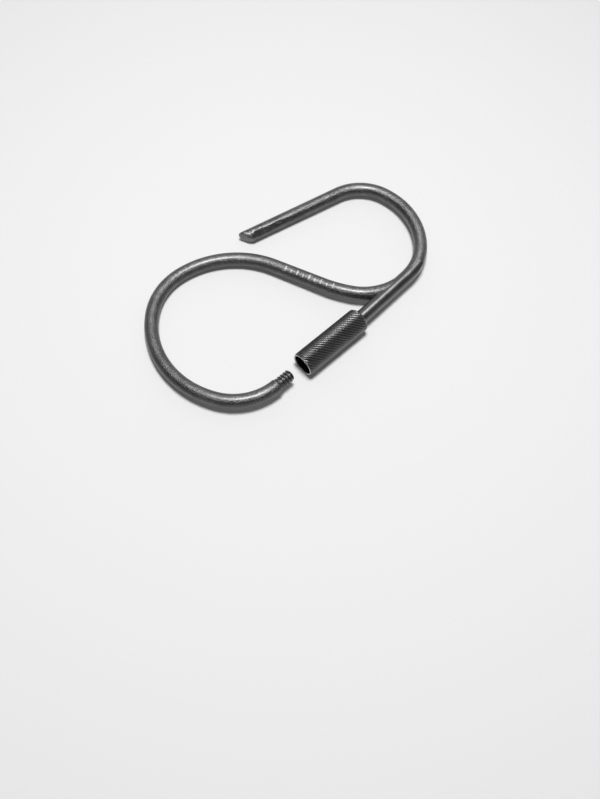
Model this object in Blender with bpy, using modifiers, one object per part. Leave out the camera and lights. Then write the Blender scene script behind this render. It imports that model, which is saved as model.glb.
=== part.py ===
"""Key ring of bent wire: a hook, an S-shaped middle and a round key loop closed by a screw sleeve.

The ring is laid out flat in its own plane. X runs along the closing axis, which the stud, the
sleeve and the rod share, and Y runs across the ring. The whole is then tipped about the closing
axis, so that it lies as it does on a table: on the sleeve and on the far side of the wires.
Lengths are in metres.
"""

import math

import bmesh
import bpy
from mathutils import Matrix, Vector

MM = 0.001

# Wire
WIRE_D = 3.2 * MM
ARC_STEP = math.radians(8)
WIRE_RESOLUTION = 4

# Key loop: from the stud, round the loop, through the S and up to the rod.
# Each bend is a radius and an angle, which is positive where the wire turns left.
STUD_TIP_X = -3.4 * MM
STUD_STRAIGHT = 4.3 * MM
LOOP_BENDS = (
    (13.7 * MM, math.radians(-58)),
    (21.2 * MM, math.radians(-80)),
    (15.0 * MM, math.radians(-47)),
    (21.2 * MM, math.radians(-63)),
)
S_BENDS = (
    (30.0 * MM, math.radians(14)),
    (13.0 * MM, math.radians(57)),
)
COPED_END_CUT = math.radians(18)

# Thread on the loop's end, drawn at its crest diameter
THREAD_D = 2.85 * MM
THREAD_LENGTH = 3.9 * MM
THREAD_TIP_D = 2.2 * MM
THREAD_CHAMFER = 0.35 * MM
SHOULDER_LENGTH = 0.15 * MM

# Rod and hook: from the retaining collar, along the rod, round the eye and out along the hook
ROD_END_X = 5.9 * MM
ROD_BEND_X = 17.6 * MM
ROD_BEND = math.radians(3)
ROD_STRAIGHT = 16.4 * MM
EYE_BENDS = (
    (14.0 * MM, math.radians(41)),
    (17.5 * MM, math.radians(60)),
    (10.9 * MM, math.radians(64)),
)
HOOK_STRAIGHT = 26.8 * MM
HOOK_TIP_ROUND = 0.7 * MM
HOOK_TIP_STEPS = 3

# Retaining collar on a spigot at the rod's end
SPIGOT_D = 2.2 * MM
SPIGOT_LENGTH = 1.5 * MM
COLLAR_D = 4.2 * MM
COLLAR_LENGTH = 1.4 * MM

# Knurled sleeve: its mouth is at X = 0
SLEEVE_D = 5.8 * MM
SLEEVE_LENGTH = 17.9 * MM
SLEEVE_CHAMFER = 0.5 * MM
SLEEVE_BORE_D = 4.8 * MM
SLEEVE_MOUTH_D = 5.1 * MM
SLEEVE_MOUTH_CHAMFER = 0.25 * MM
SLEEVE_BACK_WALL = 1.5 * MM
SLEEVE_BACK_HOLE_D = 3.8 * MM

# Threaded insert pressed into the sleeve
INSERT_X = 1.5 * MM
INSERT_LENGTH = 3.0 * MM
INSERT_D = 4.6 * MM
INSERT_BORE_D = 3.15 * MM
INSERT_CHAMFER = 0.3 * MM

# Gap kept between neighbouring solids
GAP = 0.3 * MM
TURNED_STEPS = 32

STEEL = ((0.030, 0.030, 0.032, 1.0), 0.34)
KNURLED_STEEL = ((0.026, 0.026, 0.028, 1.0), 0.42)
INSIDE_STEEL = ((0.040, 0.039, 0.038, 1.0), 0.50)


def clear_scene():
    for obj in list(bpy.data.objects):
        bpy.data.objects.remove(obj, do_unlink=True)


def make_collection(name):
    collection = bpy.data.collections.new(name)
    bpy.context.scene.collection.children.link(collection)
    return collection


def make_material(name, colour, roughness):
    material = bpy.data.materials.new(name)
    material.use_nodes = True
    shader = material.node_tree.nodes["Principled BSDF"]
    shader.inputs["Base Color"].default_value = colour
    shader.inputs["Roughness"].default_value = roughness
    shader.inputs["Metallic"].default_value = 1.0
    return material


class Route:
    """A flat wire route of straights and bends, each tangent to the one before."""

    def __init__(self, x, y, heading):
        self.heading = heading
        self.points = [Vector((x, y, 0.0))]
        self.radii = [1.0]

    def straight(self, length, diameter=WIRE_D):
        step = Vector((math.cos(self.heading), math.sin(self.heading), 0.0)) * length
        self.points.append(self.points[-1] + step)
        self.radii.append(diameter / WIRE_D)

    def bend(self, radius, angle):
        start = self.points[-1]
        side = math.copysign(radius, angle)
        centre = start + Vector((-math.sin(self.heading), math.cos(self.heading), 0.0)) * side
        steps = max(1, math.ceil(abs(angle) / ARC_STEP))
        for index in range(1, steps + 1):
            turn = Matrix.Rotation(angle * index / steps, 3, "Z")
            self.points.append(centre + turn @ (start - centre))
            self.radii.append(1.0)
        self.heading += angle


def loop_route(middle_straight, end_cut=0.0):
    """From the stud's tip round the key loop and through the S towards the rod."""
    route = Route(STUD_TIP_X, 0.0, math.pi)
    route.radii[0] = THREAD_TIP_D / WIRE_D
    route.straight(THREAD_CHAMFER, THREAD_D)
    route.straight(THREAD_LENGTH - THREAD_CHAMFER, THREAD_D)
    route.straight(SHOULDER_LENGTH)
    route.straight(STUD_STRAIGHT - THREAD_LENGTH - SHOULDER_LENGTH)
    for radius, angle in LOOP_BENDS:
        route.bend(radius, angle)
    route.straight(middle_straight)
    (first_radius, first_angle), (last_radius, last_angle) = S_BENDS
    route.bend(first_radius, first_angle)
    route.bend(last_radius, last_angle - end_cut)
    return route


def closing_straight():
    """Length of the S's straight that brings the loop's end onto the rod's axis."""
    across = Vector((-math.sin(ROD_BEND), math.cos(ROD_BEND), 0.0))
    rod_start = Vector((ROD_BEND_X, 0.0, 0.0))
    miss_at_zero = (loop_route(0.0).points[-1] - rod_start).dot(across)
    miss_at_one = (loop_route(MM).points[-1] - rod_start).dot(across)
    return MM * miss_at_zero / (miss_at_zero - miss_at_one)


def hook_route():
    """From the spigot inside the sleeve along the rod, round the eye and out along the hook."""
    route = Route(ROD_END_X, 0.0, 0.0)
    route.radii[0] = SPIGOT_D / WIRE_D
    route.straight(SPIGOT_LENGTH, SPIGOT_D)
    route.straight(SHOULDER_LENGTH)
    route.straight(ROD_BEND_X - ROD_END_X - SPIGOT_LENGTH - SHOULDER_LENGTH)
    route.heading += ROD_BEND
    route.straight(ROD_STRAIGHT)
    for radius, angle in EYE_BENDS:
        route.bend(radius, angle)
    route.straight(HOOK_STRAIGHT - HOOK_TIP_ROUND)
    for index in range(HOOK_TIP_STEPS):
        before = math.pi / 2 * index / HOOK_TIP_STEPS
        after = math.pi / 2 * (index + 1) / HOOK_TIP_STEPS
        advance = HOOK_TIP_ROUND * (math.sin(after) - math.sin(before))
        route.straight(advance, WIRE_D - 2 * HOOK_TIP_ROUND * (1 - math.cos(after)))
    return route


def finish_mesh(obj, material):
    obj.data.materials.clear()
    obj.data.materials.append(material)
    obj.data.shade_smooth()
    obj.data.set_sharp_from_angle(angle=math.radians(40))


def weld_caps(mesh):
    shape = bmesh.new()
    shape.from_mesh(mesh)
    bmesh.ops.remove_doubles(shape, verts=shape.verts, dist=0.001 * MM)
    bmesh.ops.recalc_face_normals(shape, faces=shape.faces)
    shape.to_mesh(mesh)
    shape.free()


def make_wire(name, route, material, collection):
    """A round wire along the route, made a mesh with closed ends."""
    curve = bpy.data.curves.new(name + "_route", "CURVE")
    curve.dimensions = "3D"
    curve.bevel_depth = WIRE_D / 2
    curve.bevel_resolution = WIRE_RESOLUTION
    curve.use_fill_caps = True
    spline = curve.splines.new("POLY")
    spline.points.add(len(route.points) - 1)
    for spline_point, point, radius in zip(spline.points, route.points, route.radii):
        spline_point.co = (*point, 1.0)
        spline_point.radius = radius
    guide = bpy.data.objects.new(name + "_route", curve)
    collection.objects.link(guide)
    graph = bpy.context.evaluated_depsgraph_get()
    mesh = bpy.data.meshes.new_from_object(guide.evaluated_get(graph))
    weld_caps(mesh)
    wire = bpy.data.objects.new(name, mesh)
    wire.matrix_world = guide.matrix_world
    bpy.data.objects.remove(guide, do_unlink=True)
    collection.objects.link(wire)
    finish_mesh(wire, material)
    return wire


def cope_onto_rod(wire, collection):
    """Hollows the loop's end so that it fits along the rod with a brazing gap."""
    length = 2 * ROD_STRAIGHT
    mesh = bpy.data.meshes.new("rod_clearance")
    shape = bmesh.new()
    radius = WIRE_D / 2 + GAP
    bmesh.ops.create_cone(
        shape, cap_ends=True, segments=TURNED_STEPS, radius1=radius, radius2=radius, depth=length
    )
    shape.to_mesh(mesh)
    shape.free()
    cutter = bpy.data.objects.new("rod_clearance", mesh)
    cutter.location = (ROD_BEND_X + length / 2 * math.cos(ROD_BEND), length / 2 * math.sin(ROD_BEND), 0.0)
    cutter.rotation_euler = (0.0, math.pi / 2, ROD_BEND)
    cutter.hide_render = True
    cutter.display_type = "WIRE"
    collection.objects.link(cutter)
    cut = wire.modifiers.new("rod_clearance", "BOOLEAN")
    cut.operation = "DIFFERENCE"
    cut.solver = "EXACT"
    cut.object = cutter
    return cutter


def make_turned(name, profile, material, collection):
    """A ring turned about the closing axis from a closed profile of (radius, X) points."""
    mesh = bpy.data.meshes.new(name)
    points = [(radius, 0.0, along) for radius, along in profile]
    edges = [(index, (index + 1) % len(points)) for index in range(len(points))]
    mesh.from_pydata(points, edges, [])
    ring = bpy.data.objects.new(name, mesh)
    ring.rotation_euler = (0.0, math.pi / 2, 0.0)
    collection.objects.link(ring)
    turn = ring.modifiers.new("turn", "SCREW")
    turn.axis = "Z"
    turn.steps = TURNED_STEPS
    turn.render_steps = TURNED_STEPS
    turn.use_merge_vertices = True
    turn.merge_threshold = 0.01 * MM
    turn.use_smooth_shade = True
    mesh.materials.append(material)
    return ring


def make_sleeve(material, collection):
    outer, back = SLEEVE_D / 2, SLEEVE_LENGTH
    bore, mouth, hole = SLEEVE_BORE_D / 2, SLEEVE_MOUTH_D / 2, SLEEVE_BACK_HOLE_D / 2
    shelf = back - SLEEVE_BACK_WALL
    profile = [
        (hole, back),
        (outer - SLEEVE_CHAMFER, back),
        (outer, back - SLEEVE_CHAMFER),
        (outer, SLEEVE_MOUTH_CHAMFER),
        (outer - SLEEVE_MOUTH_CHAMFER, 0.0),
        (mouth, 0.0),
        (bore, mouth - bore),
        (bore, shelf),
        (hole, shelf),
    ]
    return make_turned("knurled_sleeve", profile, material, collection)


def make_insert(material, collection):
    outer, bore = INSERT_D / 2, INSERT_BORE_D / 2
    front, back = INSERT_X, INSERT_X + INSERT_LENGTH
    profile = [
        (bore, back),
        (outer, back),
        (outer, front),
        (bore + INSERT_CHAMFER, front),
        (bore, front + INSERT_CHAMFER),
    ]
    return make_turned("threaded_insert", profile, material, collection)


def make_collar(material, collection):
    outer, bore = COLLAR_D / 2, SPIGOT_D / 2 + GAP / 2
    front, back = ROD_END_X, ROD_END_X + COLLAR_LENGTH
    profile = [(bore, back), (outer, back), (outer, front), (bore, front)]
    return make_turned("retaining_collar", profile, material, collection)


def tip_angle(routes):
    """The tilt at which both the sleeve and the far side of the wires touch the table."""
    reach = max(point.y for route in routes for point in route.points)
    return math.asin((SLEEVE_D - WIRE_D) / 2 / reach)


def settle(frame, pieces):
    """Moves the ring so that the middle of its underside lies at the origin."""
    bpy.context.view_layer.update()
    graph = bpy.context.evaluated_depsgraph_get()
    corners = []
    for piece in pieces:
        shown = piece.evaluated_get(graph)
        corners += [shown.matrix_world @ vertex.co for vertex in shown.data.vertices]
    low = Vector(min(corner[axis] for corner in corners) for axis in range(3))
    high = Vector(max(corner[axis] for corner in corners) for axis in range(3))
    frame.location -= Vector(((low.x + high.x) / 2, (low.y + high.y) / 2, low.z))


def main():
    clear_scene()
    parts = make_collection("screw_key_ring")
    cutters = make_collection("cutters")
    steel = make_material("black_oxide_steel", *STEEL)
    knurled_steel = make_material("knurled_steel", *KNURLED_STEEL)
    inside_steel = make_material("inside_steel", *INSIDE_STEEL)

    loop = loop_route(closing_straight(), COPED_END_CUT)
    hook = hook_route()
    loop_wire = make_wire("loop_wire", loop, steel, parts)
    cutter = cope_onto_rod(loop_wire, cutters)
    pieces = [
        loop_wire,
        make_wire("hook_and_rod_wire", hook, steel, parts),
        make_collar(inside_steel, parts),
        make_insert(inside_steel, parts),
        make_sleeve(knurled_steel, parts),
    ]

    closing_axis = bpy.data.objects.new("closing_axis", None)
    parts.objects.link(closing_axis)
    closing_axis.location = (0.0, 0.0, SLEEVE_D / 2)
    closing_axis.rotation_euler = (-tip_angle((loop, hook)), 0.0, 0.0)
    for piece in (*pieces, cutter):
        piece.parent = closing_axis
    settle(closing_axis, pieces)


main()
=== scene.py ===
"""Looks for the screw-closed key ring: fine wires, thread, knurl, brazed joint, steel, light and camera.

Lengths are in metres. The ring is laid out in its own flat plane, with X along the closing axis from
the sleeve's mouth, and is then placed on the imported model's sleeve and tipped as it lies on a table.
"""

import math

import bmesh
import bpy
import numpy as np
from mathutils import Matrix, Vector


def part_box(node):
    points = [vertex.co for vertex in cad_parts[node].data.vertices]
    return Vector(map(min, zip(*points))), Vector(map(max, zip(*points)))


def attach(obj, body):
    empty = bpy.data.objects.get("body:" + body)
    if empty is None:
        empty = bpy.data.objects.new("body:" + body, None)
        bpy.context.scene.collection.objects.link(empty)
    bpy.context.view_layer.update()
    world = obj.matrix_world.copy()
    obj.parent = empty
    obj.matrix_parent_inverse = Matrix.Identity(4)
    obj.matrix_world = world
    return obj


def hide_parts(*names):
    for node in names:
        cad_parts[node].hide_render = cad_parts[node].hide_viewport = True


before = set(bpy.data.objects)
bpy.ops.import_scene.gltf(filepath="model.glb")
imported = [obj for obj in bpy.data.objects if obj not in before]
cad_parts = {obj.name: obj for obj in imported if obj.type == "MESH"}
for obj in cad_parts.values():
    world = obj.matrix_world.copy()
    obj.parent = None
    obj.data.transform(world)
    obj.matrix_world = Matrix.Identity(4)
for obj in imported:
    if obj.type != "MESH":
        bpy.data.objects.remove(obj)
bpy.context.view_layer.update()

MM = 0.001

# Wires, each made of rings of points that start at its underside
WIRE_D = 3.2 * MM
WIRE_R = WIRE_D / 2
WIRE_SIDES = 64
UNDERSIDE = -math.pi / 2
STRAIGHT_STEP = 0.4 * MM
ARC_STEP = math.radians(1.2)

# Key loop: straights are lengths, bends are (radius, angle) with a left turn positive
STUD_TIP_X = -3.4 * MM
STUD_STRAIGHT = 4.3 * MM
LOOP_BENDS = (
    (13.7 * MM, math.radians(-58)),
    (21.2 * MM, math.radians(-80)),
    (15.0 * MM, math.radians(-47)),
    (21.2 * MM, math.radians(-63)),
)
S_BENDS = (
    (30.0 * MM, math.radians(14)),
    (13.0 * MM, math.radians(57)),
)
JOINT_OVERLAP = math.radians(9)  # how much sooner the S ends, so that it stops inside the rod
JOINT_SINK = 0.06 * MM  # how much thinner the S gets over its last JOINT_FADE, to merge with the rod
JOINT_FADE = 5.0 * MM

# Rod, eye and hook
ROD_END_X = 5.9 * MM
ROD_BEND_X = 17.6 * MM
ROD_BEND = math.radians(3)
ROD_STRAIGHT = 16.4 * MM
EYE_BENDS = (
    (14.0 * MM, math.radians(41)),
    (17.5 * MM, math.radians(60)),
    (10.9 * MM, math.radians(64)),
)
HOOK_STRAIGHT = 26.2 * MM
HOOK_STEP = 0.15 * MM
HOOK_CUT = math.radians(37)
HOOK_SHEAR_LENGTH = 4.0 * MM
HOOK_RIM = 0.75 * MM
HOOK_RIM_ANGLES = np.radians(np.arange(12, 91, 13))
EYE_START_INSIDE = 4.0 * MM  # how far back inside the rod the eye's wire starts
EYE_START_SINK = 0.05 * MM
SPIGOT_R = 1.1 * MM
SPIGOT_LENGTH = 1.5 * MM
SPIGOT_STEP = 0.12 * MM
ROD_STEP = 0.1 * MM
ROD_RUN_ON = 5.0 * MM  # how far the rod goes on beside the eye's first bend
ROD_RUN_ON_RADIUS = 27.0 * MM
ROD_PROUD = 0.03 * MM  # how far the ground rod stands out of the eye's outside

# Hammered flat along the hook
FLAT_LENGTH = 13.5 * MM
FLAT_FULL_LENGTH = 2.0 * MM
FLAT_END_GAP = 0.6 * MM
FLAT_END_FADE = 1.2 * MM
FLAT_DEPTH = 0.2 * MM
FLAT_ANGLE = math.radians(42)
FLAT_REACH = 0.3  # cosine of the angle from FLAT_ANGLE at which the flat stops
HAMMER_RIPPLE = 0.016 * MM

# Wear on the hook wire
SCUFF_ANGLE = math.radians(100)
SCUFF_CENTRE = 15.0 * MM
SCUFF_LENGTH = 9.0 * MM
SCUFF_WEAR = 0.1
POLISH_LENGTH = 24.0 * MM
POLISH_FADE = 1.5 * MM
POLISH = 0.3
RIM_WEAR = 0.25

# Names of the mesh layers that the materials read
WIRE_UV = "round_and_along"
GRAIN = "grain"
WEAR_AND_HIGHLIGHT = "wear"
UV_PER_METRE = 100

# Thread
THREAD_R = 1.425 * MM
THREAD_LENGTH = 3.9 * MM
THREAD_PITCH = 0.8 * MM
THREAD_DEPTH = 0.4 * MM
THREAD_CHAMFER = 0.4 * MM
THREAD_CHAMFER_SLOPE = 1.1
THREAD_STEP = 0.035 * MM
SHOULDER_LENGTH = 0.22 * MM
GROOVE_CREST = 0.18  # part of the way from crest to root that is flat crest
GROOVE_FLANK = 0.62  # part of it that is flank

# Raised ticks on the S, from TICK_START along the loop wire, each a share of the full span tall
TICK_START = 86.2 * MM
TICK_PITCH = 1.5 * MM
TICK_WIDTH = 0.5 * MM
TICK_HEIGHTS = (1.0, 0.6, 1.0, 0.6, 1.0, 0.6, 1.0, 0.6, 1.0)
TICK_ANGLE = math.radians(103)
TICK_SPAN = math.radians(46)
TICK_STEPS = 9
TICK_SINK = 0.03 * MM
TICK_RISE = 0.035 * MM
TICK_BEVEL = 0.25
# The ticks are painted light grey through the wear attribute: a painted highlight on the stamped marks.
TICK_HIGHLIGHT = 0.9

# Sleeve. Its turned outlines are lists of (X from the mouth in mm, radius in mm, wear). On the lip that wear
# paints the steel light all round: a rubbed edge and a painted highlight along the rim.
SLEEVE_R = 2.9 * MM
SLEEVE_LENGTH = 17.9 * MM
SLEEVE_BACK = SLEEVE_LENGTH / MM
LIP = [(0.12, 2.46, 0.5), (0.02, 2.50, 1.0), (0.0, 2.57, 1.0), (0.03, 2.65, 1.0), (0.09, 2.68, 0.6)]
BACK_AND_BORE = [
    (SLEEVE_BACK, 2.42, 0.1),
    (SLEEVE_BACK, 1.96, 0.2),
    (SLEEVE_BACK - 0.08, 1.90, 0.1),
    (SLEEVE_BACK - 1.5, 1.90, 0.0),
    (SLEEVE_BACK - 1.5, 2.40, 0.0),
    (0.35, 2.40, 0.0),
    (0.16, 2.42, 0.3),
]
KNURL_STARTS = 23
KNURL_DEPTH = 0.28 * MM
KNURL_SAMPLES = 18
KNURL_STEP = 0.1 * MM
KNURL_START = 0.1 * MM
KNURL_END = SLEEVE_LENGTH - 0.08 * MM
KNURL_ROUNDING = 0.012
KNURL_CREST_RISE = 0.11
# Crests are painted lighter with their wear: rubbed crests and a painted highlight on the ridges.
KNURL_WEAR_AND_HIGHLIGHT = 0.1
FRONT_CHAMFER_R = 2.632 * MM
FRONT_CHAMFER_SLOPE = 0.4
BACK_CHAMFER_R = 2.5 * MM
BACK_CHAMFER_SLOPE = 0.9

# Turned pieces inside the sleeve, as closed outlines of (X, radius) in mm
TURNED_SIDES = 96
BORE_START, BORE_END, BORE_R = 4.35, 1.75, 1.5
BORE_GROOVE = 0.3
BORE_STEP = 0.05
INSERT_OUTSIDE = [(1.5, 2.25), (1.55, 2.3), (4.45, 2.3), (4.5, 2.25), (4.5, 1.65), (4.4, 1.5)]
INSERT_MOUTH = [(1.5, 1.85)]
COLLAR = [(5.9, 2.0), (6.0, 2.1), (7.2, 2.1), (7.3, 2.0), (7.3, 1.15), (5.9, 1.15)]

# Oiled black steel
OIL_WEIGHT = 0.5
OIL_ROUGHNESS = 0.3
OIL_IOR = 1.5
WORN_ROUGHNESS = 0.3  # roughness that full wear adds
FLECKS = 0.6
BLOTCH_CONTRAST = 0.2
GLOSS_CONTRAST = 0.15
STREAK_RELIEF = 0.4
RELIEF_HEIGHT = 0.15 * MM
STREAK_SCALE = 900.0
BLOTCH_SCALE = 420.0
SPECK_SCALE = 4200.0
PIT_SCALE = 3600.0

# Light and floor
LAMP_HEIGHT = 0.435
LAMP_BEYOND = 0.011
LAMP_R = 0.062
KEY_IRRADIANCE = 5.5
STUDIO_FAR, STUDIO_NEAR, STUDIO_RIGHT, STUDIO_LEFT = 0.8, 0.1, 0.15, 0.05
BACKDROP = 0.8
FLOOR_HALF = 3.0
FLOOR_DROP = 0.02 * MM
FLOOR_WHITE = 0.438
FLOOR_GLOW = 0.05

# Camera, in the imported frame
CAMERA_TARGET = Vector((-18.498, -23.369, 1.6)) * MM
CAMERA_DISTANCE = 196.9 * MM
CAMERA_AZIMUTH = math.radians(45.68)
CAMERA_ELEVATION = math.radians(63.79)
CAMERA_ROLL = math.radians(3.08)
FOCAL_IN_HEIGHTS = 900 / 799
SENSOR = 36.0


# ---------------------------------------------------------------- routes


class Route:
    """A flat wire route of tangent straights and bends, kept as points with headings."""

    def __init__(self, x, y, heading):
        self.points = [np.array((x, y))]
        self.headings = [heading]

    def straight(self, length, step=STRAIGHT_STEP):
        heading = self.headings[-1]
        start = self.points[-1]
        count = max(1, math.ceil(length / step))
        for index in range(1, count + 1):
            along = length * index / count
            self.points.append(start + along * np.array((math.cos(heading), math.sin(heading))))
            self.headings.append(heading)

    def bend(self, radius, angle, step=ARC_STEP):
        start = self.points[-1]
        heading = self.headings[-1]
        side = math.copysign(radius, angle)
        centre = start + side * np.array((-math.sin(heading), math.cos(heading)))
        count = max(1, math.ceil(abs(angle) / step))
        for index in range(1, count + 1):
            turned = heading + angle * index / count
            self.points.append(centre + side * np.array((math.sin(turned), -math.cos(turned))))
            self.headings.append(turned)

    def lengths(self):
        steps = np.linalg.norm(np.diff(np.array(self.points), axis=0), axis=1)
        return np.concatenate(([0.0], np.cumsum(steps)))


def loop_route(middle_straight, overlap=0.0):
    """From the stud's tip round the key loop and through the S to the rod."""
    route = Route(STUD_TIP_X, 0.0, math.pi)
    route.straight(STUD_STRAIGHT, THREAD_STEP)
    for radius, angle in LOOP_BENDS:
        route.bend(radius, angle)
    route.straight(middle_straight)
    (first_radius, first_angle), (last_radius, last_angle) = S_BENDS
    route.bend(first_radius, first_angle)
    route.bend(last_radius, last_angle - overlap)
    return route


def closing_straight():
    """Length of the S's straight that brings the loop's end onto the rod's axis."""
    across = np.array((-math.sin(ROD_BEND), math.cos(ROD_BEND)))
    rod_start = np.array((ROD_BEND_X, 0.0))
    at_zero = (loop_route(0.0).points[-1] - rod_start) @ across
    at_one = (loop_route(MM).points[-1] - rod_start) @ across
    return MM * at_zero / (at_zero - at_one)


def rod_route(run_on=ROD_RUN_ON):
    """From the spigot inside the sleeve, out along the straight rod and on beside the eye."""
    route = Route(ROD_END_X, 0.0, 0.0)
    route.straight(ROD_BEND_X - ROD_END_X, ROD_STEP)
    route.headings[-1] = ROD_BEND
    route.straight(ROD_STRAIGHT)
    if run_on:
        route.bend(ROD_RUN_ON_RADIUS, run_on / ROD_RUN_ON_RADIUS, ROD_STEP / ROD_RUN_ON_RADIUS)
    return route


def hook_route():
    """The eye and hook, from a little way inside the rod's end."""
    rod_end = rod_route(0.0).points[-1]
    x, y = rod_end - EYE_START_INSIDE * np.array((math.cos(ROD_BEND), math.sin(ROD_BEND)))
    route = Route(x, y, ROD_BEND)
    route.straight(EYE_START_INSIDE)
    for radius, angle in EYE_BENDS:
        route.bend(radius, angle)
    route.straight(HOOK_STRAIGHT - HOOK_RIM, HOOK_STEP)
    return route


# ---------------------------------------------------------------- meshes


def angles_round_wire():
    return np.linspace(UNDERSIDE, UNDERSIDE + 2 * math.pi, WIRE_SIDES, endpoint=False)


def ramp(values, start, length):
    """Rises from 0 to 1 over the length, from the start."""
    return np.clip((values - start) / length, 0.0, 1.0)


def grid_mesh(name, rings, lengths, wear=None, closed_rings=False):
    """A closed surface through equal rings of points. Open ends are capped.

    The map WIRE_UV runs round the piece in U and along it in V, for brushed gloss. The attribute GRAIN holds
    (length, two coordinates across) for seamless grain. The wear attribute lightens the steel above 0: at 1
    the black is rubbed through, and on the sleeve's lip, knurl crests and ticks the lightening is also a
    painted highlight. Below 0 the finish is polished.
    """
    count, sides = rings.shape[:2]
    shape = bmesh.new()
    uv_layer = shape.loops.layers.uv.new(WIRE_UV)
    grain_layer = shape.verts.layers.float_vector.new(GRAIN)
    wear_and_highlight_layer = shape.verts.layers.float.new(WEAR_AND_HIGHLIGHT)
    verts = []
    for row, ring in enumerate(rings):
        middle = ring.mean(axis=0)
        row_verts = []
        for side, point in enumerate(ring):
            vert = shape.verts.new(point)
            reach = np.linalg.norm(point - middle)
            angle = 2 * math.pi * side / sides
            vert[grain_layer] = (lengths[row], reach * math.cos(angle), reach * math.sin(angle))
            vert[wear_and_highlight_layer] = 0.0 if wear is None else float(wear[row, side])
            row_verts.append(vert)
        verts.append(row_verts)
    last = count if closed_rings else count - 1
    for row in range(last):
        here, there = verts[row], verts[(row + 1) % count]
        near, far = lengths[row] * UV_PER_METRE, lengths[(row + 1) % count] * UV_PER_METRE
        for side in range(sides):
            after = (side + 1) % sides
            face = shape.faces.new((here[side], here[after], there[after], there[side]))
            left, right = side / sides, (side + 1) / sides
            for loop, corner in zip(face.loops, ((left, near), (right, near), (right, far), (left, far))):
                loop[uv_layer].uv = corner
    if not closed_rings:
        for ring in (list(reversed(verts[0])), verts[-1]):
            face = shape.faces.new(ring)
            for loop in face.loops:
                loop[uv_layer].uv = (loop.vert.co.x * UV_PER_METRE, loop.vert.co.z * UV_PER_METRE)
    bmesh.ops.recalc_face_normals(shape, faces=shape.faces)
    mesh = bpy.data.meshes.new(name)
    shape.to_mesh(mesh)
    shape.free()
    return mesh


def add_piece(name, mesh, material, body, replaces=None, sharp=35):
    """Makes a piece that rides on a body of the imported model, in place of a CAD node if one is named."""
    mesh.materials.append(material)
    mesh.shade_smooth()
    mesh.set_sharp_from_angle(angle=math.radians(sharp))
    piece = bpy.data.objects.new(name, mesh)
    bpy.context.scene.collection.objects.link(piece)
    piece.data.transform(RING_TO_WORLD)
    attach(piece, body)
    if replaces:
        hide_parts(replaces)


def tube_rings(route, radius_at):
    """Rings of points round the route; radius_at takes lengths along it and angles round it."""
    points = np.array(route.points)
    headings = np.array(route.headings)
    lengths = route.lengths()
    around = angles_round_wire()
    radius = radius_at(lengths[:, None], around[None, :]) * np.ones((len(points), WIRE_SIDES))
    side = np.stack((-np.sin(headings), np.cos(headings)), axis=1)
    across = radius * np.cos(around)
    rings = np.empty((len(points), WIRE_SIDES, 3))
    rings[:, :, 0] = points[:, 0, None] + across * side[:, 0, None]
    rings[:, :, 1] = points[:, 1, None] + across * side[:, 1, None]
    rings[:, :, 2] = radius * np.sin(around)
    return rings


def groove(phase):
    """Depth of a 60 degree thread groove with a flat crest and root, 0 to 1, over one turn of phase."""
    return ramp(1 - np.abs(2 * (phase % 1.0) - 1), GROOVE_CREST, GROOVE_FLANK)


def stud_radius(along, around):
    """Wire radius near the stud: chamfered tip, helical thread, run-out and shoulder."""
    turns = along / THREAD_PITCH - around / (2 * math.pi)
    fade_in = np.clip(along / (0.5 * THREAD_PITCH), 0.25, 1.0)
    fade_out = ramp(THREAD_LENGTH - along, 0.0, 0.7 * THREAD_PITCH)
    threaded = THREAD_R - THREAD_DEPTH * groove(turns) * np.minimum(fade_in, fade_out)
    chamfered = np.minimum(threaded, THREAD_R - THREAD_CHAMFER + along * THREAD_CHAMFER_SLOPE)
    return chamfered + (WIRE_R - chamfered) * ramp(along, THREAD_LENGTH, SHOULDER_LENGTH)


def loop_radius(along, around):
    """Radius of the loop wire: the stud, then plain wire that thins a little inside the joint."""
    sink = JOINT_SINK * ramp(along, LOOP_LENGTH - JOINT_FADE, JOINT_FADE)
    return np.where(along < STUD_STRAIGHT, stud_radius(along, around), WIRE_R - sink)


def rod_radius(along, around):
    """Radius of the rod, the same all round: the spigot, then plain wire."""
    return SPIGOT_R + (WIRE_R - SPIGOT_R) * ramp(along, SPIGOT_LENGTH, SPIGOT_STEP) + 0 * around


def hook_radius(along, around):
    """Wire radius with a hammered flat that deepens towards the hook's end."""
    from_tip = HOOK_LENGTH - along
    deep = FLAT_DEPTH * ramp(FLAT_LENGTH - from_tip, 0.0, FLAT_LENGTH - FLAT_FULL_LENGTH) ** 0.8
    deep *= ramp(from_tip, FLAT_END_GAP, FLAT_END_FADE)
    ripple = HAMMER_RIPPLE * (
        np.sin(along / (0.21 * MM) + 5 * around) * np.sin(along / (0.13 * MM) - 3 * around)
        + np.sin(along / (0.37 * MM) - 4 * around)
    )
    turned = np.cos(around - FLAT_ANGLE)
    flat = (WIRE_R - deep + ripple * (deep > 0)) / np.maximum(turned, FLAT_REACH)
    sink = EYE_START_SINK * ramp(EYE_START_INSIDE - along, 0.0, EYE_START_INSIDE)
    return np.minimum(WIRE_R - sink, np.where(turned > FLAT_REACH, flat, WIRE_R))


def hook_wear(lengths):
    """Scuffs on top of the eye, a polished top along the hook and a lighter rim round its cut."""
    upper = np.clip(np.cos(angles_round_wire() - SCUFF_ANGLE), 0.0, 1.0)
    scuffed = SCUFF_WEAR * np.exp(-(((lengths - SCUFF_CENTRE) / SCUFF_LENGTH) ** 2))
    polished = POLISH / (1 + np.exp((lengths[-1] - POLISH_LENGTH - lengths) / POLISH_FADE))
    wear = (scuffed - polished)[:, None] * upper[None, :]
    wear[-len(HOOK_RIM_ANGLES):] = RIM_WEAR
    return wear


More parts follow.
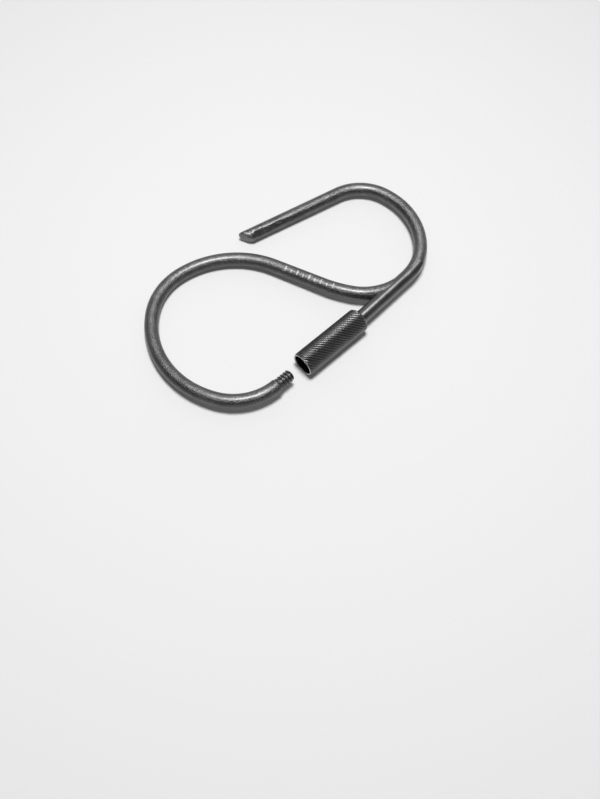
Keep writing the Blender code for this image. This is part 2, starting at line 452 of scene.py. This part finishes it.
def trim_rod(rings):
    """Grinds the rod's run-on flush with the outside of the eye's first bend."""
    radius, _ = EYE_BENDS[0]
    start = rod_route(0.0).points[-1]
    centre = start + radius * np.array((-math.sin(ROD_BEND), math.cos(ROD_BEND)))
    along = (rings[:, :, :2] - start) @ np.array((math.cos(ROD_BEND), math.sin(ROD_BEND)))
    offset = rings[:, :, :2] - centre
    distance = np.linalg.norm(offset, axis=2)
    limit = radius + WIRE_R + ROD_PROUD
    scale = np.where((along > 0) & (distance > limit), limit / distance, 1.0)
    rings[:, :, :2] = centre + offset * scale[:, :, None]
    return rings


def cut_hook_tip(rings, route):
    """Shears the hook's last rings into an oblique end and rounds its rim."""
    heading = route.headings[-1]
    along = np.array((math.cos(heading), math.sin(heading), 0.0))
    across = np.array((-math.sin(heading), math.cos(heading), 0.0))
    from_end = route.lengths()[-1] - route.lengths()
    rings = rings.copy()
    for row in np.flatnonzero(from_end < HOOK_SHEAR_LENGTH):
        middle = np.array((*route.points[row], 0.0))
        share = 1 - from_end[row] / HOOK_SHEAR_LENGTH
        aside = (rings[row] - middle) @ across
        rings[row] -= (aside * math.tan(HOOK_CUT) * share)[:, None] * along
    middle = np.array((*route.points[-1], 0.0))
    rim = []
    for turned in HOOK_RIM_ANGLES:
        inset = 1 - HOOK_RIM / WIRE_R * (1 - math.cos(turned))
        rim.append(middle + inset * (rings[-1] - middle) + HOOK_RIM * math.sin(turned) * along)
    return np.concatenate((rings, np.array(rim)))


def turned_ring(x, radius, around):
    """A ring round the X axis, at one X, from a radius or from a radius for each angle."""
    return np.stack((np.full(len(around), x), radius * np.cos(around), radius * np.sin(around)), axis=1)


def knurl_ridges(along, around):
    """Height of the helical ridges, from 0 in the grooves to about 1 on the rounded crests."""
    turns = KNURL_STARTS * (around - along / SLEEVE_R) / (2 * math.pi)
    from_crest = np.abs(2 * (turns % 1.0) - 1)
    return 1 + KNURL_CREST_RISE - np.sqrt(from_crest**2 + KNURL_ROUNDING)


def knurled_rings():
    """Rings and wear of the sleeve: lip, knurl between two chamfers, then home through the bore. The wear on
    the lip and on the knurl's crests lightens them, partly as a painted highlight.
    """
    around = np.linspace(0, 2 * math.pi, KNURL_STARTS * KNURL_SAMPLES, endpoint=False)
    rings = [turned_ring(x * MM, radius * MM, around) for x, radius, _ in LIP]
    wear = [np.full(len(around), wear_and_highlight) for _, _, wear_and_highlight in LIP]
    count = int((KNURL_END - KNURL_START) / KNURL_STEP)
    for along in np.linspace(KNURL_START, KNURL_END, count + 1):
        height = knurl_ridges(along, around)
        front = FRONT_CHAMFER_R + FRONT_CHAMFER_SLOPE * along
        behind = BACK_CHAMFER_R + BACK_CHAMFER_SLOPE * (KNURL_END - along)
        radius = np.minimum(SLEEVE_R - KNURL_DEPTH * (1 - height), min(front, behind))
        rings.append(turned_ring(along, radius, around))
        wear.append(KNURL_WEAR_AND_HIGHLIGHT * np.clip(height, 0, 1) ** 4)
    rings += [turned_ring(x * MM, radius * MM, around) for x, radius, _ in BACK_AND_BORE]
    wear += [np.full(len(around), wear_and_highlight) for _, _, wear_and_highlight in BACK_AND_BORE]
    return np.array(rings), np.array(wear)


def tick_rings(route, start, height):
    """One raised tick: a thin bevelled strip bent round the wire, as rings of four points."""
    lengths = route.lengths()
    points, headings = np.array(route.points), np.array(route.headings)
    half = TICK_SPAN * height / 2
    middle = TICK_ANGLE + TICK_SPAN * (1 - height) / 2
    section = (
        (start, WIRE_R - TICK_SINK),
        (start + TICK_WIDTH, WIRE_R - TICK_SINK),
        (start + (1 - TICK_BEVEL) * TICK_WIDTH, WIRE_R + TICK_RISE),
        (start + TICK_BEVEL * TICK_WIDTH, WIRE_R + TICK_RISE),
    )
    rings = []
    for around in np.linspace(middle - half, middle + half, TICK_STEPS):
        ring = []
        for along, radius in section:
            x = np.interp(along, lengths, points[:, 0])
            y = np.interp(along, lengths, points[:, 1])
            heading = np.interp(along, lengths, headings)
            aside = radius * math.cos(around)
            z = radius * math.sin(around)
            ring.append((x - aside * math.sin(heading), y + aside * math.cos(heading), z))
        rings.append(ring)
    return np.array(rings)


def turned_rings(outline):
    """Rings of a turned piece from a closed outline of (X, radius) in millimetres."""
    around = np.linspace(0, 2 * math.pi, TURNED_SIDES, endpoint=False)
    return np.array([turned_ring(x * MM, radius * MM, around) for x, radius in outline])


def threaded_bore():
    """Outline of the insert's tapped bore in millimetres, with the groove cut outwards."""
    around = np.linspace(0, 2 * math.pi, TURNED_SIDES, endpoint=False)
    outline = []
    for x in np.linspace(BORE_START, BORE_END, int((BORE_START - BORE_END) / BORE_STEP)):
        turns = x * MM / THREAD_PITCH - around / (2 * math.pi)
        outline.append((x, BORE_R + BORE_GROOVE * groove(turns)))
    return outline


# ---------------------------------------------------------------- materials


def new_material(name):
    """A material with its nodes, its links and its Principled BSDF."""
    material = bpy.data.materials.new(name)
    material.use_nodes = True
    nodes, links = material.node_tree.nodes, material.node_tree.links
    return material, nodes, links, nodes["Principled BSDF"]


def add_noise(nodes, links, coords, scale, detail):
    """A noise texture on the given coordinates. Returns its grey output."""
    noise = nodes.new("ShaderNodeTexNoise")
    noise.inputs["Scale"].default_value = scale
    noise.inputs["Detail"].default_value = detail
    links.new(coords, noise.inputs["Vector"])
    return noise.outputs["Fac"]


def add_range(nodes, links, value, source, target):
    """Maps a value from one range to another. Returns the output."""
    mapped = nodes.new("ShaderNodeMapRange")
    mapped.inputs["From Min"].default_value, mapped.inputs["From Max"].default_value = source
    mapped.inputs["To Min"].default_value, mapped.inputs["To Max"].default_value = target
    links.new(value, mapped.inputs["Value"])
    return mapped.outputs["Result"]


def black_oxide(name, colour, roughness, brushed=0.0, streak=9.0, grain=0.5, oil=OIL_ROUGHNESS, bare_and_highlight=5.5):
    """Black-oxide steel under oil: dark satin metal with drawn grain, fine flecks, lighter rubbed edges and
    painted highlights.

    colour is the steel's grey, streak says how drawn out the grain is, and bare_and_highlight is how many
    times lighter the steel is where the wear attribute marks it: where the black has rubbed off, and where it
    paints a highlight.
    """
    material, nodes, links, shader = new_material(name)
    shader.inputs["Metallic"].default_value = 1.0
    shader.inputs["Coat Weight"].default_value = OIL_WEIGHT
    shader.inputs["Coat Roughness"].default_value = oil
    shader.inputs["Coat IOR"].default_value = OIL_IOR
    if brushed:
        shader.inputs["Anisotropic"].default_value = brushed
        shader.inputs["Anisotropic Rotation"].default_value = 0.25
        tangent = nodes.new("ShaderNodeTangent")
        tangent.direction_type = "UV_MAP"
        tangent.uv_map = WIRE_UV
        links.new(tangent.outputs["Tangent"], shader.inputs["Tangent"])

    grain_coords = nodes.new("ShaderNodeAttribute")
    grain_coords.attribute_name = GRAIN
    stretch = nodes.new("ShaderNodeMapping")
    stretch.inputs["Scale"].default_value = (1.0, streak, streak)
    links.new(grain_coords.outputs["Vector"], stretch.inputs["Vector"])
    coords = nodes.new("ShaderNodeTexCoord").outputs["Object"]
    streaks = add_noise(nodes, links, stretch.outputs["Vector"], STREAK_SCALE, 4.0)
    blotches = add_noise(nodes, links, coords, BLOTCH_SCALE, 4.0)
    specks = add_noise(nodes, links, coords, SPECK_SCALE, 2.0)
    pits = add_noise(nodes, links, coords, PIT_SCALE, 1.0)

    shades = nodes.new("ShaderNodeValToRGB")
    for element, place, shade in zip(
        shades.color_ramp.elements, (0.35, 0.7), (1 - BLOTCH_CONTRAST, 1 + BLOTCH_CONTRAST)
    ):
        element.position = place
        element.color = (*(shade * c for c in colour), 1)
    links.new(blotches, shades.inputs["Fac"])
    flecked = nodes.new("ShaderNodeVectorMath")
    flecked.operation = "SCALE"
    links.new(shades.outputs["Color"], flecked.inputs[0])
    flecks = add_range(nodes, links, specks, (0.35, 0.65), (1 - FLECKS * grain, 1 + FLECKS * grain))
    links.new(flecks, flecked.inputs["Scale"])

    # The wear attribute lightens the steel where its black is rubbed off, and paints a highlight on the
    # sleeve's lip, knurl crests and ticks.
    wear_and_highlight = nodes.new("ShaderNodeAttribute")
    wear_and_highlight.attribute_name = WEAR_AND_HIGHLIGHT
    patchy = nodes.new("ShaderNodeMath")
    patchy.operation = "MULTIPLY"
    patchy.use_clamp = True
    links.new(wear_and_highlight.outputs["Fac"], patchy.inputs[0])
    links.new(add_range(nodes, links, specks, (0.4, 0.62), (0.5, 1.2)), patchy.inputs[1])
    base = nodes.new("ShaderNodeMix")
    base.data_type = "RGBA"
    base.inputs["B"].default_value = (*(min(1.0, bare_and_highlight * c) for c in colour), 1)
    links.new(patchy.outputs["Value"], base.inputs["Factor"])
    links.new(flecked.outputs["Vector"], base.inputs["A"])
    links.new(base.outputs["Result"], shader.inputs["Base Color"])

    gloss_ends = (roughness * (1 - GLOSS_CONTRAST), roughness * (1 + GLOSS_CONTRAST))
    rubbed = nodes.new("ShaderNodeMath")
    rubbed.operation = "MULTIPLY_ADD"
    rubbed.inputs[1].default_value = WORN_ROUGHNESS
    links.new(wear_and_highlight.outputs["Fac"], rubbed.inputs[0])
    links.new(add_range(nodes, links, specks, (0.3, 0.7), gloss_ends), rubbed.inputs[2])
    links.new(rubbed.outputs["Value"], shader.inputs["Roughness"])

    relief = nodes.new("ShaderNodeMath")
    relief.operation = "MULTIPLY_ADD"
    relief.inputs[1].default_value = STREAK_RELIEF
    links.new(streaks, relief.inputs[0])
    links.new(pits, relief.inputs[2])
    bump = nodes.new("ShaderNodeBump")
    bump.inputs["Strength"].default_value = grain
    bump.inputs["Distance"].default_value = RELIEF_HEIGHT
    links.new(relief.outputs["Value"], bump.inputs["Height"])
    links.new(bump.outputs["Normal"], shader.inputs["Normal"])
    return material


def floor_material():
    """A matt pale surface that glows slightly, which lightens the shadows."""
    material, _, _, shader = new_material("pale_floor")
    shader.inputs["Base Color"].default_value = (FLOOR_WHITE, FLOOR_WHITE, FLOOR_WHITE, 1)
    shader.inputs["Roughness"].default_value = 0.9
    shader.inputs["Emission Color"].default_value = (1, 1, 1, 1)
    shader.inputs["Emission Strength"].default_value = FLOOR_GLOW
    shader.inputs["Specular IOR Level"].default_value = 0.2
    return material


# ---------------------------------------------------------------- build

loop = loop_route(closing_straight(), JOINT_OVERLAP)
hook = hook_route()
rod = rod_route()
LOOP_LENGTH = loop.lengths()[-1]
HOOK_LENGTH = hook.lengths()[-1]

# The ring stands on its sleeve, and tips until the farthest wire rests on the table too
sleeve_low, sleeve_high = (Vector(corner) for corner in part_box("knurled_sleeve"))
mouth = (sleeve_low + sleeve_high) / 2
mouth.x = sleeve_low.x
reach = max(point[1] for point in loop.points + hook.points)
tilt = math.asin((SLEEVE_R - WIRE_R) / reach)
RING_TO_WORLD = Matrix.Translation(mouth) @ Matrix.Rotation(-tilt, 4, "X")

steel = black_oxide("black_oxide_steel", (0.088, 0.088, 0.089), 0.46, grain=0.8)
hook_steel = black_oxide("rubbed_black_steel", (0.1, 0.1, 0.101), 0.45, brushed=0.5, grain=0.8)
turned_steel = black_oxide("smooth_black_steel", (0.12, 0.12, 0.121), 0.43, brushed=0.6, grain=0.12, oil=0.22)
# The knurled steel lightens strongly where marked: its light lip and crests are rubbed edges and a painted
# highlight.
knurled_steel = black_oxide(
    "knurled_black_steel", (0.064, 0.064, 0.065), 0.34, streak=1.0, grain=0.12, oil=0.28, bare_and_highlight=11.5
)
dull_steel = black_oxide("dull_inside_steel", (0.06, 0.058, 0.056), 0.45, streak=1.0)

loop_mesh = grid_mesh("loop_wire_fine", tube_rings(loop, loop_radius), loop.lengths())
add_piece("loop_wire_fine", loop_mesh, steel, "ring", "loop_wire")

tick_mesh = bmesh.new()
for index, height in enumerate(TICK_HEIGHTS):
    strip_rings = tick_rings(loop, TICK_START + index * TICK_PITCH, height)
    strip_lengths = np.linspace(0, TICK_SPAN * WIRE_R, TICK_STEPS)
    strip = grid_mesh("tick", strip_rings, strip_lengths, np.full(strip_rings.shape[:2], TICK_HIGHLIGHT))
    tick_mesh.from_mesh(strip)
    bpy.data.meshes.remove(strip)
ticks = bpy.data.meshes.new("stamped_ticks")
tick_mesh.to_mesh(ticks)
tick_mesh.free()
add_piece("stamped_ticks", ticks, steel, "ring")

hook_rings = cut_hook_tip(tube_rings(hook, hook_radius), hook)
rim_lengths = HOOK_LENGTH + 0.08 * MM * np.arange(1, len(HOOK_RIM_ANGLES) + 1)
hook_lengths = np.concatenate((hook.lengths(), rim_lengths))
hook_mesh = grid_mesh("hook_wire_fine", hook_rings, hook_lengths, hook_wear(hook_lengths))
add_piece("hook_wire_fine", hook_mesh, hook_steel, "ring", "hook_and_rod_wire")

rod_mesh = grid_mesh("rod_fine", trim_rod(tube_rings(rod, rod_radius)), rod.lengths())
add_piece("rod_fine", rod_mesh, turned_steel, "ring")

sleeve_rings, sleeve_wear_and_highlight = knurled_rings()
sleeve_mesh = grid_mesh("sleeve_fine", sleeve_rings, sleeve_rings[:, 0, 0], sleeve_wear_and_highlight, closed_rings=True)
add_piece("sleeve_fine", sleeve_mesh, knurled_steel, "sleeve", "knurled_sleeve", sharp=50)

insert_rings = turned_rings(INSERT_OUTSIDE + threaded_bore() + INSERT_MOUTH)
insert_mesh = grid_mesh("insert_fine", insert_rings, insert_rings[:, 0, 0], closed_rings=True)
add_piece("insert_fine", insert_mesh, dull_steel, "insert", "threaded_insert")

collar_rings = turned_rings(COLLAR)
collar_mesh = grid_mesh("collar_fine", collar_rings, collar_rings[:, 0, 0], closed_rings=True)
add_piece("collar_fine", collar_mesh, dull_steel, "ring", "retaining_collar")

# ---------------------------------------------------------------- stage, light, camera


def add_floor():
    """A wide flat floor just under the ring."""
    corners = [(x * FLOOR_HALF, y * FLOOR_HALF, 0) for x, y in ((-1, -1), (1, -1), (1, 1), (-1, 1))]
    mesh = bpy.data.meshes.new("floor")
    mesh.from_pydata(corners, [], [(0, 1, 2, 3)])
    mesh.materials.append(floor_material())
    floor = bpy.data.objects.new("floor", mesh)
    floor.location.z = -FLOOR_DROP
    bpy.context.scene.collection.objects.link(floor)


def add_lamp(position, radius, radiance):
    """A soft round light that faces the ring."""
    data = bpy.data.lights.new("overhead", "AREA")
    data.shape = "DISK"
    data.size = 2 * radius
    data.energy = radiance * math.pi * (math.pi * radius**2)
    lamp = bpy.data.objects.new("overhead", data)
    lamp.location = position
    lamp.rotation_euler = (-position).to_track_quat("-Z", "Y").to_euler()
    lamp.visible_camera = False
    bpy.context.scene.collection.objects.link(lamp)


def studio_world(far):
    """A dim studio: bright on the far side, a little so on the right, nearly dark elsewhere."""
    world = bpy.data.worlds.new("studio")
    world.use_nodes = True
    nodes, links = world.node_tree.nodes, world.node_tree.links
    coords = nodes.new("ShaderNodeTexCoord")
    total = None
    right = Vector((far.y, -far.x, 0.0))
    sides = ((far, STUDIO_FAR), (-far, STUDIO_NEAR), (right, STUDIO_RIGHT), (-right, STUDIO_LEFT))
    for direction, amount in sides:
        dot = nodes.new("ShaderNodeVectorMath")
        dot.operation = "DOT_PRODUCT"
        dot.inputs[1].default_value = direction
        links.new(coords.outputs["Generated"], dot.inputs[0])
        clamp = nodes.new("ShaderNodeMapRange")
        clamp.inputs["To Max"].default_value = amount
        links.new(dot.outputs["Value"], clamp.inputs["Value"])
        if total is None:
            total = clamp.outputs["Result"]
        else:
            add = nodes.new("ShaderNodeMath")
            add.operation = "ADD"
            links.new(total, add.inputs[0])
            links.new(clamp.outputs["Result"], add.inputs[1])
            total = add.outputs["Value"]
    path = nodes.new("ShaderNodeLightPath")
    seen = nodes.new("ShaderNodeMix")
    seen.inputs["B"].default_value = BACKDROP
    links.new(path.outputs["Is Camera Ray"], seen.inputs["Factor"])
    links.new(total, seen.inputs["A"])
    links.new(seen.outputs["Result"], nodes["Background"].inputs["Strength"])
    nodes["Background"].inputs["Color"].default_value = (1, 1, 1, 1)
    return world


def add_camera(far):
    """The camera, which looks down at the ring towards the far side."""
    data = bpy.data.cameras.new("camera")
    data.sensor_fit = "AUTO"
    data.sensor_width = SENSOR
    data.lens = FOCAL_IN_HEIGHTS * SENSOR
    data.clip_start = 0.01
    data.clip_end = 20.0
    camera = bpy.data.objects.new("camera", data)
    look = far * math.cos(CAMERA_ELEVATION) - Vector((0, 0, math.sin(CAMERA_ELEVATION)))
    camera.location = CAMERA_TARGET - CAMERA_DISTANCE * look
    turn = look.to_track_quat("-Z", "Y").to_matrix().to_4x4()
    camera.rotation_euler = (turn @ Matrix.Rotation(CAMERA_ROLL, 4, "Z")).to_euler()
    bpy.context.scene.collection.objects.link(camera)
    bpy.context.scene.camera = camera


far_side = Vector((math.sin(CAMERA_AZIMUTH), math.cos(CAMERA_AZIMUTH), 0.0))
lamp_radiance = KEY_IRRADIANCE * LAMP_HEIGHT**2 / (math.pi * LAMP_R**2)
add_floor()
add_lamp(far_side * LAMP_BEYOND + Vector((0, 0, LAMP_HEIGHT)), LAMP_R, lamp_radiance)
bpy.context.scene.world = studio_world(far_side)
bpy.context.scene.view_settings.view_transform = "Standard"
add_camera(far_side)
